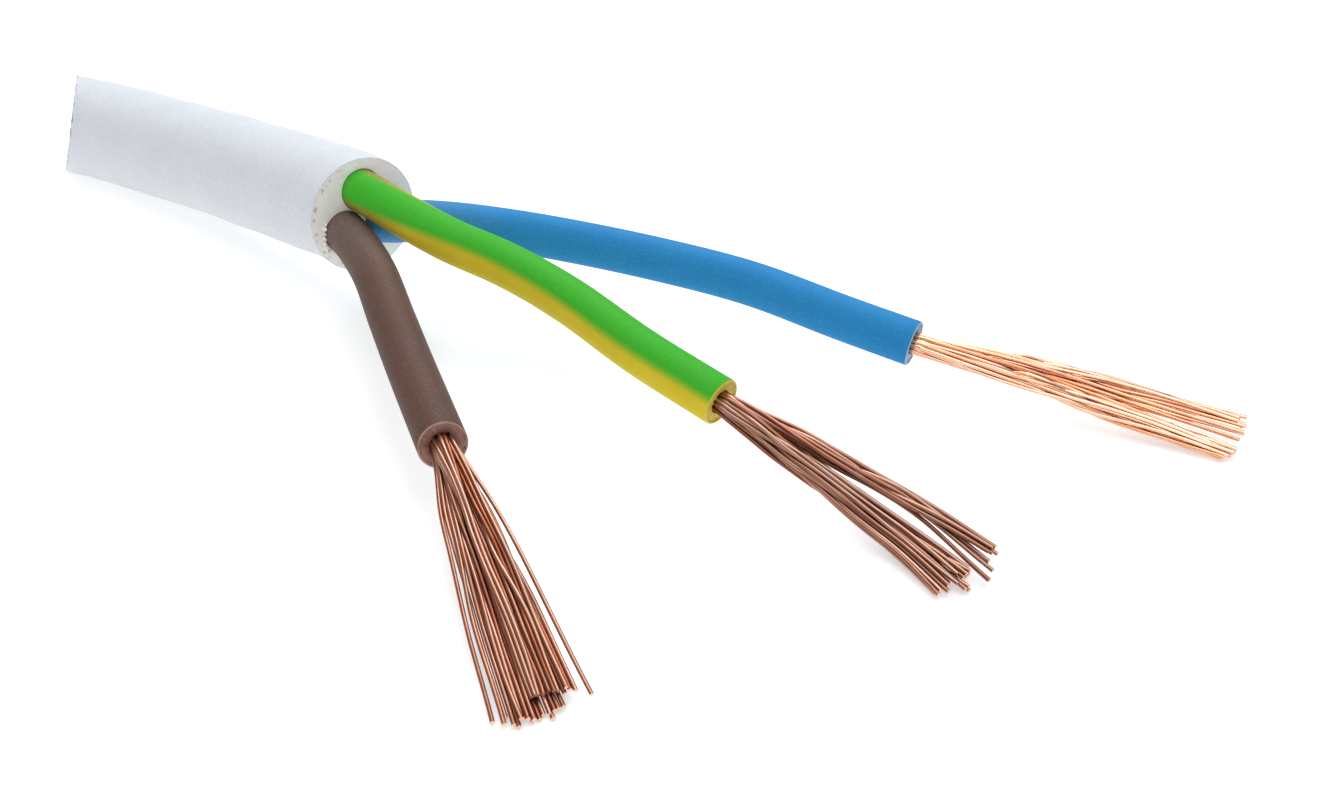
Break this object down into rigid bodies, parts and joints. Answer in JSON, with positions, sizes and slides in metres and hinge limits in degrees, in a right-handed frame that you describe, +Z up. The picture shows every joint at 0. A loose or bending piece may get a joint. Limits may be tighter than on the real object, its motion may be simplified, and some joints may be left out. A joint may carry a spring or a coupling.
{
  "type": "stripped three-core flexible cable",
  "caption": "Short length of round white flexible mains cable, stripped so that its brown, green/yellow and blue cores fan out and end in splayed bare copper strands.",
  "frame": {"origin": "on the level surface that the cable lies on, under the middle of its bounding box", "axes": "+X from the cut end of the sheath towards the bare strands, +Z up"},
  "size_m": [0.1009, 0.0482, 0.011],
  "materials": {
    "sheath_pvc": "satin, soft PVC",
    "brown_pvc": "satin, soft PVC",
    "green_yellow_pvc": "satin, soft PVC, green over yellow",
    "blue_pvc": "satin, soft PVC",
    "bare_copper": "bare drawn copper"
  },
  "bodies": {
    "root": {"sheath": "sheath_pvc", "brown_insulation": "brown_pvc", "green_yellow_insulation": "green_yellow_pvc", "blue_insulation": "blue_pvc", "brown_conductor": "bare_copper", "green_yellow_conductor": "bare_copper", "blue_conductor": "bare_copper"}
  },
  "joints": []
}
